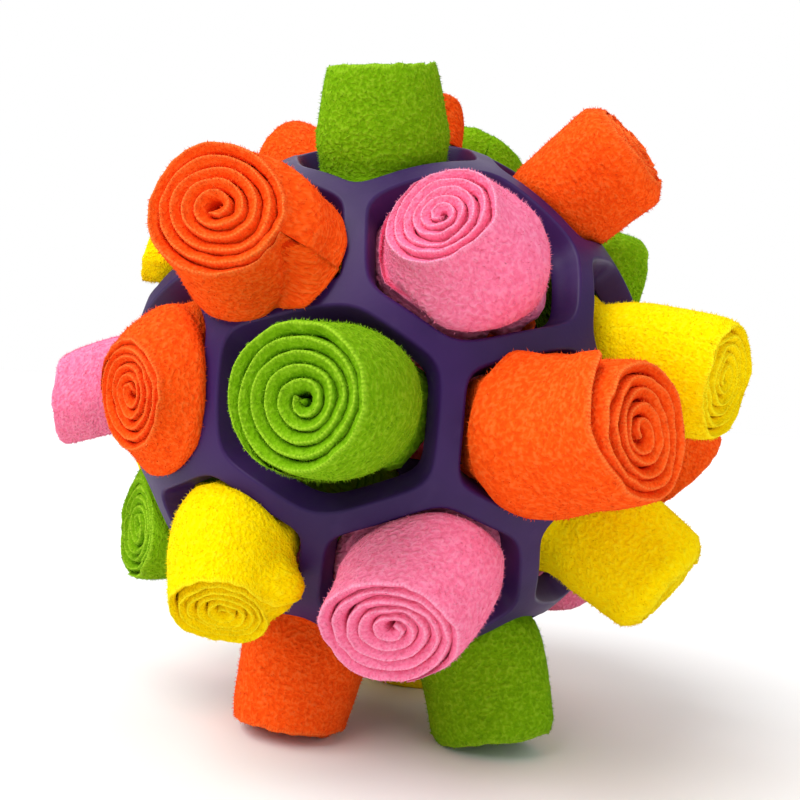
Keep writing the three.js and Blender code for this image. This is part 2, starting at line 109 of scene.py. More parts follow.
# One row for each roll. turn and rise find its opening. reach is how far the end stands from the ball's
# centre along the opening's axis, and across and up move it sideways. foot_across and foot_up move the
# roll in its opening, and bend is the height at which its axis turns from the opening to the end. tip and
# body are radii at the end and above the lattice, and seam is the angle of the strip's outer end. sink is
# how far the core lies below the rim. The strip's outer end stands off by lift and has slipped down by slip.
ROLL_COLUMNS = (
    "name colour turn rise reach across up bend foot_across foot_up "
    "tip body round seam wind sink lift slip"
).split()
ROLLS = [
    ("front", "green", -101, -1, 73.5, -1.3, 1.7, 65, 2.8, 1.1, 14.2, 15.3, 0.4, 262, -1, 0.9, 0, 0),
    ("upper_front", "pink", -74, 33, 66, -9.3, -2.6, 57.5, -2.4, -2.6, 11.4, 15.4, 0.4, 100, 1, 0.2, 0, 0),
    ("right_front", "orange", -64, -3, 76, 9, 4.6, 59, 2.8, 0, 13.7, 15.6, 0.8, 114, 1, 0.4, 1.2, 2.5),
    ("lower_front", "pink", -79, -38, 67.5, -8.3, 2, 57.5, -1.6, 3, 13.8, 15, 0.4, 300, 1, 0.7, 0, 0),
    ("upper_left", "orange", -119, 32, 72, 0.45, -7.9, 59, -0.5, -3, 13.7, 15.2, 0.4, 350, -1, -0.6, 0, 0),
    ("lower_left", "yellow", -124, -31, 69, 5.8, -4.3, 57.5, 2.4, 0.5, 10.6, 13.8, 0.4, 340, 1, 0.3, 0.5, 0.6),
    ("left", "orange", -142, 2, 64, 4.4, -4.6, 57.5, 3.2, -3.2, 11.4, 15.6, 0.4, 175, -1, 0.3, 0, 0),
    ("top", "green", -112, 69, 71.5, 2.5, 0.8, 60, 1, -0.6, 12.4, 14.2, 0.8, 60, 1, 0.2, 0, 0),
    ("upper_right", "orange", -32, 54, 74, 5, -7.9, 58, 2, -3.6, 13.8, 13.4, 3.5, 80, 1, -1.2, 0, 0),
    ("right", "yellow", -31, 17, 73.3, 0.5, -12, 57.5, 0, -3.4, 13.4, 14.4, 1.2, 150, 1, 0.3, 0, 0),
    ("lower_right", "yellow", -31, -25, 72.9, 1.7, -0.6, 60, 0.3, 0.5, 12.8, 13.8, 3.2, 60, 1, -0.8, 0, 0),
    ("foot_front", "green", -32, -62, 75.4, -1.5, -2.5, 59, 0, 0, 13.6, 14.2, 1.6, 20, 1, 0.1, 0, 0),
    ("foot_left", "orange", -132, -69, 73.2, 1.5, -1, 59, 0, 0, 12.8, 14.4, 0.8, 300, 1, 0.1, 0.4, 2),
    ("lower_left_edge", "green", -169, -32, 61.8, 0, 2, 59, 0, 0, 12.4, 13.8, 0.4, 230, 1, 0.2, 0, 0),
    ("left_edge", "pink", 180, 4, 71.5, 0.5, -10, 59, 0, -3.5, 11.8, 12.8, 0.4, 80, 1, 0.2, 0, 0),
    ("upper_left_edge", "yellow", -165, 38, 60.5, -4, -8, 58, -1.5, -4.5, 12, 13.6, 0.4, 310, 1, 0.2, 0.4, 0),
    ("top_back", "orange", 148, 62, 65.2, 1.5, -7, 59, 0, -1, 11.6, 12.4, 2, 215, 1, 0.4, 0.8, 0),
    ("top_back_right", "green", 48, 69, 66, -1, -0.5, 59, 0, 0, 12, 13.2, 2, 140, 1, 0.3, 0, 0),
    ("upper_right_edge", "green", 11, 32, 61.5, 0, -3, 58, 0, 0, 12.4, 13.8, 0.4, 35, 1, 0.2, 0.5, 0),
    ("right_edge", "orange", 0, -4, 68.2, 0, -6.5, 59, 0, 0, 11.4, 12.6, 0.4, 280, 1, 0.3, 0, 0),
    ("lower_right_edge", "pink", 15, -38, 63.5, 0.5, -1.5, 59, 0, 0, 11, 12.8, 0.4, 190, 1, 0.2, 0, 0),
    ("foot_back", "yellow", 68, -69, 74.0, 0, 6, 59, 0, 1.5, 13, 14, 0.4, 330, 1, 0.1, 0, 0),
    ("lower_back_left", "pink", 148, -55, 64.5, 2, 3, 59, 0, 0, 11.2, 12.6, 0.4, 65, 1, 0.3, 0.8, 2),
    ("back_left_upper", "green", 149, 25, 66, 3, -3, 59, 0, 0, 12.2, 13.8, 0.4, 160, 1, 0.5, 0, 0),
    ("back_left_lower", "yellow", 149, -17, 69, -3, 2, 59, 0, 0, 12.4, 13.9, 0.4, 290, 1, 0.2, 1.2, 2),
    ("back_right", "yellow", 38, -1, 70, 3, 3, 59, 0, 0, 12.5, 14, 0.4, 15, 1, 0.6, 0, 0),
    ("back_upper_right", "orange", 56, 31, 71, -3, -4, 59, 0, 0, 11.4, 12.8, 0.4, 205, 1, 0.2, 1.0, 2),
    ("back_lower_right", "orange", 61, -32, 70.5, 4, 2, 59, 0, 0, 11.2, 12.7, 0.4, 120, 1, 0.4, 0, 0),
    ("back_upper", "yellow", 101, 38, 71, 3, 2, 59, 0, 0, 12.3, 13.9, 0.4, 250, 1, 0.1, 0, 0),
    ("back_lower", "green", 106, -33, 71, -2, -3, 59, 0, 0, 12.4, 13.8, 0.4, 45, 1, 0.5, 0, 0),
    ("back_left", "orange", 116, 3, 71, -4, 2, 59, 0, 0, 11.3, 12.8, 0.4, 340, 1, -0.4, 0.8, 2),
    ("back", "pink", 79, 1, 74, 2, -5, 59, 0, 0, 12.4, 14, 0.4, 95, 1, 0.5, 0, 0),
]
ROLLS = [dict(zip(ROLL_COLUMNS, row)) for row in ROLLS]

# The soft lattice is pushed out of true by its rolls: how far each front junction sits from its even place
PUSHED_JUNCTIONS = [
    (("front", "upper_left", "upper_front"), 0.8, -2.6),
    (("front", "upper_left", "left"), -4.6, 0.8),
    (("front", "left", "lower_left"), -2, -1.2),
    (("front", "lower_left", "lower_front"), 0.2, 1.4),
    (("front", "lower_front", "right_front"), 1.4, 0),
    (("upper_front", "right_front", "right"), 5, 0.8),
    (("upper_front", "upper_right", "right"), 4, -1.4),
    (("upper_front", "upper_left", "top"), -1.6, -4),
    (("upper_front", "upper_right", "top"), 4.5, 2.5),
    (("upper_left", "top", "upper_left_edge"), 3, 2),
    (("lower_front", "right_front", "lower_right"), -1.4, 1),
    (("lower_front", "foot_front", "lower_right"), 1.2, 3),
    (("lower_front", "lower_left", "foot_left"), 0.6, 3.4),
    (("left", "lower_left", "lower_left_edge"), -4, 1.8),
]

# Rolls whose end doesn't face the way that it leans: how far the end faces across and up
FACINGS = {
    "upper_left": (0.5, -0.22),
    "front": (-0.34, -0.01),
    "right_front": (0.27, 0.22),
    "lower_front": (-0.28, 0.06),
    "lower_left": (0.44, -0.31),
    "left": (0.16, -0.17),
    "upper_left_edge": (-0.2, -0.35),
    "left_edge": (0, -0.15),
}

# Where a roll's body swells out below its rim, from a crease on: the crease's angle at the rim and its turn
# for each millimetre below, the angle over which the swelling dies away, its height, how deep the crease
# lies, and how far below the rim it begins and ends
BULGES = {"upper_left": (-8, -2.8, 130, 4.2, 1.2, 1.5, 40), "lower_left": (-40, 0, 67, 3.6, 0, 0.3, 13)}
# Degrees past the crease between which the swelling rises, the width of the crease, the share of the swelling
# that is full, and the lengths over which it fades at its two ends
SWELL_RISE = (-4, 13)
CREASE_WIDTH = 5
SWELL_FULL = 0.35
SWELL_FADES = (3, 8)

# Rolls that spread where they leave the lattice, how far, and the length over which that dies away
SKIRTS = {
    "upper_front": 2.4,
    "left": 2.5,
    "upper_left": 1.5,
    "right_front": 1.5,
    "top": 0.8,
    "lower_front": 1.6,
}
SKIRT_LENGTH = 13

# How the cloth strays from an even winding: the height and size of its hills, and what tells them apart
CREST_HILLS = [(0.6, 9, 0), (0.38, 2.6, 40)]
WANDER_HILLS = [(0.4, 8, 160), (0.15, 3, 200)]
SWELL_HILLS = [(0.25, 7, 80), (0.14, 2.4, 120)]
HILL_SHIFT = 17.3

# The loose end of the strip in top_back stands on edge behind the top roll: x, y, bottom and top. Its ends
# are rounded, and it has a share of a roll's loose fibres.
LOOSE_END = [
    (-19.6, 5.2, 55.4, 66),
    (-9, -1.2, 58, 68.4),
    (3, -0.8, 58.6, 69),
    (9.4, 0.6, 57.6, 68),
    (10.8, 1.4, 56.6, 64.6),
]
LOOSE_ROUNDING = 3
LOOSE_CORNER = 2.5
LOOSE_SEED = 300
LOOSE_FIBRES = 0.3
LOOSE_CREST = [(0.5, 5, 0)]
LOOSE_SWELL = [(0.3, 6, 1)]

# Each fleece's colours: its pile, the light on what stands up and the shade of what lies deep
FLEECES = {
    "orange": ((1.0, 0.100, 0.007), (1.0, 0.23, 0.05), (0.76, 0.026, 0.001)),
    "green": ((0.185, 0.41, 0.004), (0.40, 0.66, 0.035), (0.080, 0.23, 0.001)),
    "pink": ((1.0, 0.225, 0.405), (1.0, 0.42, 0.60), (0.82, 0.085, 0.21)),
    "yellow": ((1.0, 0.74, 0.0), (1.0, 0.86, 0.02), (0.94, 0.58, 0.0)),
}

# The camera stands where the photograph was taken, turned a little about its own line of sight
CAMERA_PLACE = (-0.43, -237.25, 4.75)
CAMERA_TURN = -0.1
CAMERA_DOWN = 1.15
CAMERA_ROLL = 5.0
CAMERA_LENS = 47.76
CAMERA_SHIFT = 0.0123

# The studio: a floor, light all round, and broad lamps at a turn, a rise and a strength
FLOOR_RADIUS = 3.0
FLOOR_TONE = 0.93
AMBIENT = 0.43
LAMP_SPREAD = 55
LAMPS = {"key_light": (-146, 50, 2.9), "fill_light": (-40, 35, 0.4), "back_light": (100, 55, 0.75)}


def direction(turn, rise):
    """The unit direction at a turn about Z and a rise above level, in degrees."""
    turn, rise = math.radians(turn), math.radians(rise)
    return np.array(
        (math.cos(rise) * math.cos(turn), math.cos(rise) * math.sin(turn), math.sin(rise))
    )


def unit(v):
    """The same directions at length one, along the last axis."""
    return v / np.linalg.norm(v, axis=-1, keepdims=True)


def tangents(outward):
    """Level and upward directions on the ball's surface at a unit direction."""
    across = unit(np.array((-outward[1], outward[0], 0.0)))
    return across, np.cross(outward, across)


def smooth_step(x, low, high):
    """0 below low, 1 above high, and an S curve between them."""
    t = np.clip((x - low) / (high - low), 0, 1)
    return t * t * (3 - 2 * t)


def eased(values, times):
    """Values smoothed again and again along their first axis, with the first and last kept."""
    values = values.copy()
    for _ in range(times):
        values[1:-1] = (values[:-2] + 2 * values[1:-1] + values[2:]) / 4
    return values


def make_camera():
    """The camera, at the photograph's distance, angle and lens."""
    bpy.ops.object.camera_add()
    camera = bpy.context.object
    camera.name = "camera"
    place = Vector(CAMERA_PLACE) + Vector((0, 0, REST_HEIGHT))
    camera.matrix_world = (
        Matrix.Translation(place * MM)
        @ Matrix.Rotation(math.radians(CAMERA_TURN), 4, "Z")
        @ Matrix.Rotation(math.radians(90 - CAMERA_DOWN), 4, "X")
        @ Matrix.Rotation(math.radians(CAMERA_ROLL), 4, "Z")
    )
    camera.data.sensor_width = 36
    camera.data.lens = CAMERA_LENS
    camera.data.shift_x = CAMERA_SHIFT
    camera.data.clip_start = 0.01
    bpy.context.scene.camera = camera


def make_floor():
    """A wide plain pale floor."""
    bpy.ops.mesh.primitive_circle_add(vertices=96, radius=FLOOR_RADIUS, fill_type="NGON")
    floor = bpy.context.object
    floor.name = "floor"
    paint = bpy.data.materials.new("floor_paint")
    paint.use_nodes = True
    shader = paint.node_tree.nodes["Principled BSDF"]
    shader.inputs["Base Color"].default_value = (FLOOR_TONE, FLOOR_TONE, FLOOR_TONE, 1)
    shader.inputs["Roughness"].default_value = 0.9
    floor.data.materials.append(paint)


def make_lamp(name, turn, rise, strength):
    """A broad soft lamp far off, at a turn about Z and a rise above level."""
    bpy.ops.object.light_add(type="SUN", location=(0, 0, 1))
    lamp = bpy.context.object
    lamp.name = name
    lamp.data.angle = math.radians(LAMP_SPREAD)
    lamp.data.energy = strength
    lamp.rotation_euler = Vector(direction(turn, rise)).to_track_quat("Z", "Y").to_euler()


def light_studio():
    """A white studio: soft light all round, a key from above the left shoulder, and two weaker ones."""
    world = bpy.data.worlds.new("studio")
    bpy.context.scene.world = world
    world.use_nodes = True
    nodes = Nodes(world.node_tree)
    seen = nodes.add("ShaderNodeLightPath").outputs["Is Camera Ray"]
    strength = nodes.math("MULTIPLY_ADD", seen, 1 - AMBIENT, AMBIENT)
    background = world.node_tree.nodes["Background"]
    background.inputs["Color"].default_value = (1, 1, 1, 1)
    world.node_tree.links.new(strength, background.inputs["Strength"])
    for name, (turn, rise, power) in LAMPS.items():
        make_lamp(name, turn, rise, power)
    bpy.context.scene.view_settings.view_transform = "Standard"


class Nodes:
    """Adds and links the nodes of one node tree."""

    def __init__(self, tree):
        self.tree = tree

    def add(self, kind, label="", **settings):
        """A new node. A setting names a property, and inputs is a dict of values or sockets."""
        node = self.tree.nodes.new(kind)
        node.label = label
        inputs = settings.pop("inputs", {})
        for name, value in settings.items():
            setattr(node, name, value)
        for name, value in inputs.items():
            if isinstance(value, bpy.types.NodeSocket):
                self.tree.links.new(value, node.inputs[name])
            else:
                node.inputs[name].default_value = value
        return node

    def math(self, operation, a, b=0.0, c=0.0):
        """The result of a Math node on numbers or sockets."""
        return self.add("ShaderNodeMath", operation=operation, inputs={0: a, 1: b, 2: c}).outputs[0]

    def noise(self, label, place, scale, detail, **more):
        """A noise at a place. More names its other inputs."""
        inputs = {"Vector": place, "Scale": scale, "Detail": detail, **more}
        return self.add("ShaderNodeTexNoise", label, inputs=inputs).outputs["Fac"]

    def mix(self, share, a, b):
        """One colour mixed with another."""
        node = self.add("ShaderNodeMix", data_type="RGBA")
        for name, value in (("Factor_Float", share), ("A_Color", a), ("B_Color", b)):
            socket = next(s for s in node.inputs if s.identifier == name)
            if isinstance(value, bpy.types.NodeSocket):
                self.tree.links.new(value, socket)
            else:
                socket.default_value = value
        return next(s for s in node.outputs if s.identifier == "Result_Color")

    def ramp(self, value, low, high):
        """A value stretched so that low gives 0 and high gives 1, with soft ends."""
        node = self.add(
            "ShaderNodeMapRange",
            interpolation_type="SMOOTHSTEP",
            inputs={"Value": value, "From Min": low, "From Max": high},
        )
        return node.outputs["Result"]


def make_group(name, inputs, outputs):
    """An empty node group with named sockets: its nodes, its input sockets and its output node."""
    tree = bpy.data.node_groups.new(name, "ShaderNodeTree")
    for label, kind in inputs:
        tree.interface.new_socket(name=label, in_out="INPUT", socket_type=kind)
    for label, kind in outputs:
        tree.interface.new_socket(name=label, in_out="OUTPUT", socket_type=kind)
    nodes = Nodes(tree)
    entry = nodes.add("NodeGroupInput")
    leave = nodes.add("NodeGroupOutput")
    return nodes, entry.outputs, leave


def make_pile_group():
    """Fleece: curled pile in soft clumps, with painted highlight where the pile stands up and painted shade
    where it lies low, a knitted line with a painted highlight on the cut edge, and painted shade down in the
    deep folds.

    Strip is the place on the strip in millimetres. Lip, Fold and Fibre are 1 on the cut edge's crest,
    down between two turns and at the end of a loose fibre.
    """
    tone, number, vector = "NodeSocketColor", "NodeSocketFloat", "NodeSocketVector"
    nodes, given, leave = make_group(
        "fleece_pile",
        [
            ("Strip", vector),
            ("Pile", tone),
            ("Light", tone),
            ("Shade", tone),
            ("Lip", number),
            ("Fold", number),
            ("Fibre", number),
        ],
        [("Color", tone), ("Height", number), ("Roughness", number)],
    )
    clumps = nodes.noise("clumps", given["Strip"], 0.5, 2.0, Roughness=0.55)
    curls = nodes.noise("curls", given["Strip"], 1.3, 1.0, Roughness=0.5, Distortion=0.3)
    fine = nodes.noise("fine hair", given["Strip"], 3.4, 2.0)
    relief = nodes.math("MULTIPLY_ADD", curls, 0.65, nodes.math("MULTIPLY", clumps, 0.35))

    # The knitted line on the cut edge: a painted highlight along the crest, broken into stitches, which also
    # raise the bump
    along = nodes.add("ShaderNodeSeparateXYZ", inputs={0: given["Strip"]}).outputs["X"]
    knit = nodes.math("SINE", nodes.math("MULTIPLY", along, 2 * math.pi / STITCH))
    stitched_lip_highlight = nodes.math("MULTIPLY", nodes.math("MULTIPLY_ADD", knit, 0.3, 0.7), given["Lip"])

    tint = given["Pile"]
    # Painted shade on the low pile and down in the folds, and painted highlight on the raised pile, on the
    # stitched crest of the cut edge and at the fibres' tips
    for mask, share, colour in (
        (nodes.ramp(relief, 0.56, 0.36), 0.38, "Shade"),
        (nodes.ramp(relief, 0.48, 0.66), 0.3, "Light"),
        (given["Fold"], 0.85, "Shade"),
        (stitched_lip_highlight, 0.8, "Light"),
        (given["Fibre"], 0.45, "Light"),
    ):
        tint = nodes.mix(nodes.math("MULTIPLY", mask, share), tint, given[colour])
    height = nodes.math("MULTIPLY_ADD", fine, 0.25, nodes.math("MULTIPLY", relief, 2.2))
    height = nodes.math("ADD", height, nodes.math("MULTIPLY", stitched_lip_highlight, 0.5))
    rough = nodes.math("MULTIPLY_ADD", fine, 0.1, 0.85)
    for name, value in (("Color", tint), ("Height", height), ("Roughness", rough)):
        nodes.tree.links.new(value, leave.inputs[name])
    return nodes.tree


def make_fleece(name, pile, light, shade, group):
    """One colour of fleece: the pile group on the strip's own coordinates, with a soft sheen."""
    material = bpy.data.materials.new(name)
    material.use_nodes = True
    nodes = Nodes(material.node_tree)
    shader = material.node_tree.nodes["Principled BSDF"]
    strip = nodes.add("ShaderNodeUVMap", uv_map="strip").outputs["UV"]
    # The marks that place painted highlight on the cut edge's crest and at the fibres' tips, and painted shade
    # down in the folds
    marks = {
        mark: nodes.add("ShaderNodeAttribute", attribute_name=mark.lower()).outputs["Fac"]
        for mark in ("Lip", "Fold", "Fibre")
    }
    colours = {"Pile": (*pile, 1), "Light": (*light, 1), "Shade": (*shade, 1)}
    surface = nodes.add("ShaderNodeGroup", "pile", node_tree=group)
    for socket, value in colours.items():
        surface.inputs[socket].default_value = value
    links = material.node_tree.links
    links.new(strip, surface.inputs["Strip"])
    for mark, value in marks.items():
        links.new(value, surface.inputs[mark])
    bump = nodes.add(
        "ShaderNodeBump",
        inputs={"Height": surface.outputs["Height"], "Strength": 0.6, "Distance": 0.0005},
    )
    links.new(surface.outputs["Color"], shader.inputs["Base Color"])
    links.new(surface.outputs["Roughness"], shader.inputs["Roughness"])
    links.new(bump.outputs["Normal"], shader.inputs["Normal"])
    shader.inputs["Specular IOR Level"].default_value = 0.02
    shader.inputs["Sheen Weight"].default_value = 0.03
    shader.inputs["Sheen Roughness"].default_value = 0.45
    shader.inputs["Sheen Tint"].default_value = (*light, 1)
    return material


def make_rubber():
    """Dark purple moulded rubber: satin, with a fine moulded grain, faint clouds and handling marks."""
    material = bpy.data.materials.new("rubber_satin")
    material.use_nodes = True
    nodes = Nodes(material.node_tree)
    shader = material.node_tree.nodes["Principled BSDF"]
    place = nodes.add("ShaderNodeTexCoord").outputs["Object"]
    clouds = nodes.noise("clouds", place, 45.0, 3.0)
    grain = nodes.noise("moulded grain", place, 1400.0, 2.0)
    dust = nodes.noise("handling marks", place, 160.0, 5.0)
    deep, pale, dusty = (0.022, 0.004, 0.066, 1), (0.037, 0.008, 0.094, 1), (0.06, 0.03, 0.12, 1)
    tint = nodes.mix(nodes.ramp(clouds, 0.35, 0.7), deep, pale)
    tint = nodes.mix(nodes.math("MULTIPLY", nodes.ramp(dust, 0.58, 0.75), 0.2), tint, dusty)
    rough = nodes.math("MULTIPLY_ADD", dust, 0.2, 0.36)
    bump = nodes.add("ShaderNodeBump", inputs={"Height": grain, "Strength": 0.12, "Distance": 0.0002})
    links = material.node_tree.links
    links.new(tint, shader.inputs["Base Color"])
    links.new(rough, shader.inputs["Roughness"])
    links.new(bump.outputs["Normal"], shader.inputs["Normal"])
    shader.inputs["Specular IOR Level"].default_value = 0.26
    return material


def edit(obj):
    """Starts editing one object with nothing selected in it."""
    if bpy.context.mode != "OBJECT":
        bpy.ops.object.mode_set(mode="OBJECT")
    bpy.ops.object.select_all(action="DESELECT")
    obj.select_set(True)
    bpy.context.view_layer.objects.active = obj
    bpy.ops.object.mode_set(mode="EDIT")
    bpy.ops.mesh.select_mode(type="VERT")
    bpy.ops.mesh.select_all(action="DESELECT")


def pick_vertices(obj, chosen):
    """Selects the vertices with these indices, and what lies between them."""
    bpy.ops.object.mode_set(mode="OBJECT")
    for items in (obj.data.polygons, obj.data.edges, obj.data.vertices):
        items.foreach_set("select", np.zeros(len(items), bool))
    flags = np.zeros(len(obj.data.vertices), bool)
    flags[chosen] = True
    obj.data.vertices.foreach_set("select", flags)
    bpy.ops.object.mode_set(mode="EDIT")


def places_of(obj):
    """The places of an object's vertices, in millimetres."""
    co = np.zeros(len(obj.data.vertices) * 3)
    obj.data.vertices.foreach_get("co", co)
    return co.reshape(-1, 3) / MM


def apply_modifier(obj, kind, **settings):
    """Adds a modifier to the active object and applies it."""
    modifier = obj.modifiers.new(kind.lower(), kind)
    for name, value in settings.items():
        setattr(modifier, name, value)
    bpy.ops.object.modifier_apply(modifier=modifier.name)


def axes_from(pole, second):
    """Three square axes: the pole, the way to the second point from it, and the third."""
    side = (second - pole * second.dot(pole)).normalized()
    return Matrix((pole, side, pole.cross(side))).transposed()


def make_cage():
    """The ball's pattern: an icosahedron, turned as the ball lies, with its corners cut off."""
    bpy.ops.object.select_all(action="DESELECT")
    bpy.ops.mesh.primitive_ico_sphere_add(subdivisions=1, radius=BALL_RADIUS * MM)
    cage = bpy.context.object
    # The first and the fourth vertex of a new icosahedron are neighbours
    own = axes_from(*(cage.data.vertices[i].co.normalized() for i in (0, 3)))
    wanted = axes_from(Vector(direction(**FIRST_PENTAGON)), Vector(direction(**SECOND_PENTAGON)))
    cage.matrix_world = (wanted @ own.transposed()).to_4x4()
    bpy.ops.object.transform_apply(location=True, rotation=True, scale=True)
    edit(cage)
    bpy.ops.mesh.select_all(action="SELECT")
    bpy.ops.mesh.bevel(offset_type="PERCENT", offset_pct=100 / 3, segments=1, affect="VERTICES")
    bpy.ops.object.mode_set(mode="OBJECT")
    apply_modifier(cage, "CAST", factor=1, size=BALL_RADIUS * MM, use_radius_as_size=False)
    return cage


def find_cells(cage):
    """The cage's 32 faces as cells: the axis, the corners' indices and the name of the roll in each."""
    cells = []
    places = places_of(cage)
    for face in cage.data.polygons:
        corners = list(face.vertices)
        cells.append({"axis": unit(places[corners].mean(0)), "corners": corners, "name": ""})
    for roll in ROLLS:
        wanted = direction(roll["turn"], roll["rise"])
        roll["cell"] = max(cells, key=lambda cell: cell["axis"] @ wanted)
        roll["cell"]["name"] = roll["name"]
    return cells


def push_junctions(cage, cells):
    """Moves the junctions that the rolls push out of true, along the ball's surface."""
    edit(cage)
    for names, across, up in PUSHED_JUNCTIONS:
        corners = [set(cell["corners"]) for cell in cells if cell["name"] in names]
        (junction,) = set.intersection(*corners)
        place = places_of(cage)[junction]
        level, upward = tangents(unit(place))
        moved = unit(place + across * level + up * upward) * BALL_RADIUS
        pick_vertices(cage, [junction])
        bpy.ops.transform.translate(value=(moved - place) * MM)
    bpy.ops.object.mode_set(mode="OBJECT")


def measure_openings(cage, cells):
    """The straight sides of each opening, as side normals and distances at the throat's two heights."""
    places = places_of(cage)
    for cell in cells:
        across, up = tangents(cell["axis"])
        corners = places[cell["corners"]]
        flat = np.stack((corners @ across, corners @ up), 1) / (corners @ cell["axis"])[:, None]
        flat = flat[np.argsort(np.arctan2(flat[:, 1], flat[:, 0]))]
        along = unit(np.roll(flat, -1, 0) - flat)
        cell["normals"] = np.stack((along[:, 1], -along[:, 0]), 1)
        slopes = (flat * cell["normals"]).sum(1)
        cell["outer"] = slopes * THROAT_OUTER - STRUT_FACE / 2
        cell["inner"] = slopes * THROAT_INNER - STRUT_ROOT / 2
        cell["slide"], cell["fit"] = roundest_place(cell)


def roundest_place(cell):
    """The middle of the largest circle in an opening at the throat's inner side, and its radius."""
    middle = np.zeros(2)
    for _ in range(MIDDLE_STEPS):
        room = cell["inner"] - cell["normals"] @ middle
        tight = np.exp(-room / MIDDLE_SOFTNESS)
        middle = middle - MIDDLE_STRIDE * (tight / tight.sum()) @ cell["normals"]
    return middle / THROAT_INNER, float((cell["inner"] - cell["normals"] @ middle).min())


def find_rims(obj, cells):
    """The rims of the open holes, as lists of vertices, for each cell in turn."""
    faces_at = {}
    for face in obj.data.polygons:
        for key in face.edge_keys:
            faces_at[key] = faces_at.get(key, 0) + 1
    beside = {}
    for first, second in (key for key, count in faces_at.items() if count == 1):
        beside.setdefault(first, []).append(second)
        beside.setdefault(second, []).append(first)
    rims = [[] for _ in cells]
    places = places_of(obj)
    axes = np.array([cell["axis"] for cell in cells])
    waiting = set(beside)
    while waiting:
        rim = [min(waiting)]
        waiting.discard(rim[0])
        while True:
            onward = [v for v in beside[rim[-1]] if v in waiting]
            if not onward:
                break
            rim.append(onward[0])
            waiting.discard(onward[0])
        rims[int((axes @ places[rim].mean(0)).argmax())].append(rim)
    return rims


def make_lattice(cage, cells, rubber):
    """The moulded ball: struts round every opening, drafted walls into the hollow, and rounded lips."""
    inner = BALL_RADIUS - WALL
    edit(cage)
    bpy.ops.mesh.select_all(action="SELECT")
    bpy.ops.mesh.subdivide(number_cuts=SIDE_CUTS)
    bpy.ops.mesh.inset(thickness=STRUT_FACE / 2 * LIP_HEIGHT * MM, use_individual=True)
    bpy.ops.mesh.delete(type="FACE")
    bpy.ops.object.mode_set(mode="OBJECT")
    apply_modifier(cage, "SUBSURF", levels=2, render_levels=2)
    apply_modifier(cage, "CAST", factor=1, size=BALL_RADIUS * MM, use_radius_as_size=False)

    edit(cage)
    bpy.ops.mesh.select_all(action="SELECT")
    bpy.ops.mesh.duplicate()
    shrink = inner / BALL_RADIUS
    bpy.ops.transform.resize(value=(shrink, shrink, shrink), center_override=(0, 0, 0))
    bpy.ops.mesh.flip_normals()
    bpy.ops.object.mode_set(mode="OBJECT")
    rims = find_rims(cage, cells)
    for cell, pair in zip(cells, rims):
        inner_rim = min(pair, key=lambda rim: np.linalg.norm(places_of(cage)[rim[0]]))
        centre = Vector(cell["axis"] * THROAT_INNER * MM)
        draw_in = cell["inner"].mean() / (cell["outer"].mean() * THROAT_INNER / THROAT_OUTER)
        pick_vertices(cage, inner_rim)
        bpy.ops.transform.resize(value=(draw_in, draw_in, draw_in), center_override=centre)
    for outer_rim, inner_rim in rims:
        pick_vertices(cage, outer_rim + inner_rim)
        bpy.ops.mesh.bridge_edge_loops(number_cuts=2)
    bpy.ops.mesh.select_all(action="SELECT")
    bpy.ops.mesh.normals_make_consistent(inside=False)
    bpy.ops.object.mode_set(mode="OBJECT")
    lip = {"width": LIP_ROUNDING * MM, "segments": 3}
    apply_modifier(cage, "BEVEL", **lip, limit_method="ANGLE", angle_limit=math.radians(LIP_ANGLE))
    bpy.ops.object.shade_smooth()
    cage.location.z = REST_HEIGHT * MM
    bpy.ops.object.transform_apply(location=True, rotation=True, scale=True)
    cage.name = "ball_moulding"
    cage.data.materials.append(rubber)
    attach(cage, "root")
    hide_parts("lattice_ball")
    return cage


# The strip's cut edge from its outer side to its inner side: across in half thicknesses, drop in millimetres
# below the crest, and the marks that the material reads, the lip for a painted highlight on the crest and the
# fold for painted shade down between turns
CUT_EDGE = [
    (1.00, 1.10, 0.0, 0.0),
    (1.00, 0.45, 0.3, 0.0),
    (0.90, 0.08, 1.0, 0.0),
    (0.68, 0.00, 1.0, 0.0),
    (0.44, 0.24, 0.2, 0.0),
    (0.02, 0.54, 0.0, 0.15),
    (-0.50, 0.82, 0.0, 0.4),
    (-0.90, 1.15, 0.0, 0.85),
    (-1.00, 1.90, 0.0, 1.0),
]
# How finely a roll's middle line and its strip are divided
STRAIGHT_STEPS = 24
CURVED_STEPS = 60
THROAT_ROWS = 6
SIDE_ROWS = 15
INNER_ROWS = 4
FINE_INNER_ROWS = 18
LIP_ROWS = 4
ARC_STEP = 1.4
FINE_STEP = 0.6
# Angles wound from the strip's outer end: what swells out, and what carries loose fibres
OUTER_TURN = 2 * math.pi + 1.1
FUZZY_TURN = 2 * math.pi + 0.4


def wind_strip(finest):
    """The strip's middle line, wound up: distance along it, angle from its outer end, and radius.

    The outermost turn has steps of the finest length.
    """
    along, angle, radius = [0.0], [0.0], [WOUND_RADIUS - PITCH / 2]
    while radius[-1] > CORE_RADIUS:
        step = finest
        if angle[-1] >= OUTER_TURN:
            step = ARC_STEP * min(1, 0.55 + radius[-1] / WOUND_RADIUS / 2)
        turn = step / radius[-1]
        along.append(along[-1] + step)
        angle.append(angle[-1] + turn)
        radius.append(radius[-1] - PITCH * turn / (2 * math.pi))
    return np.array(along), np.array(angle), np.array(radius)


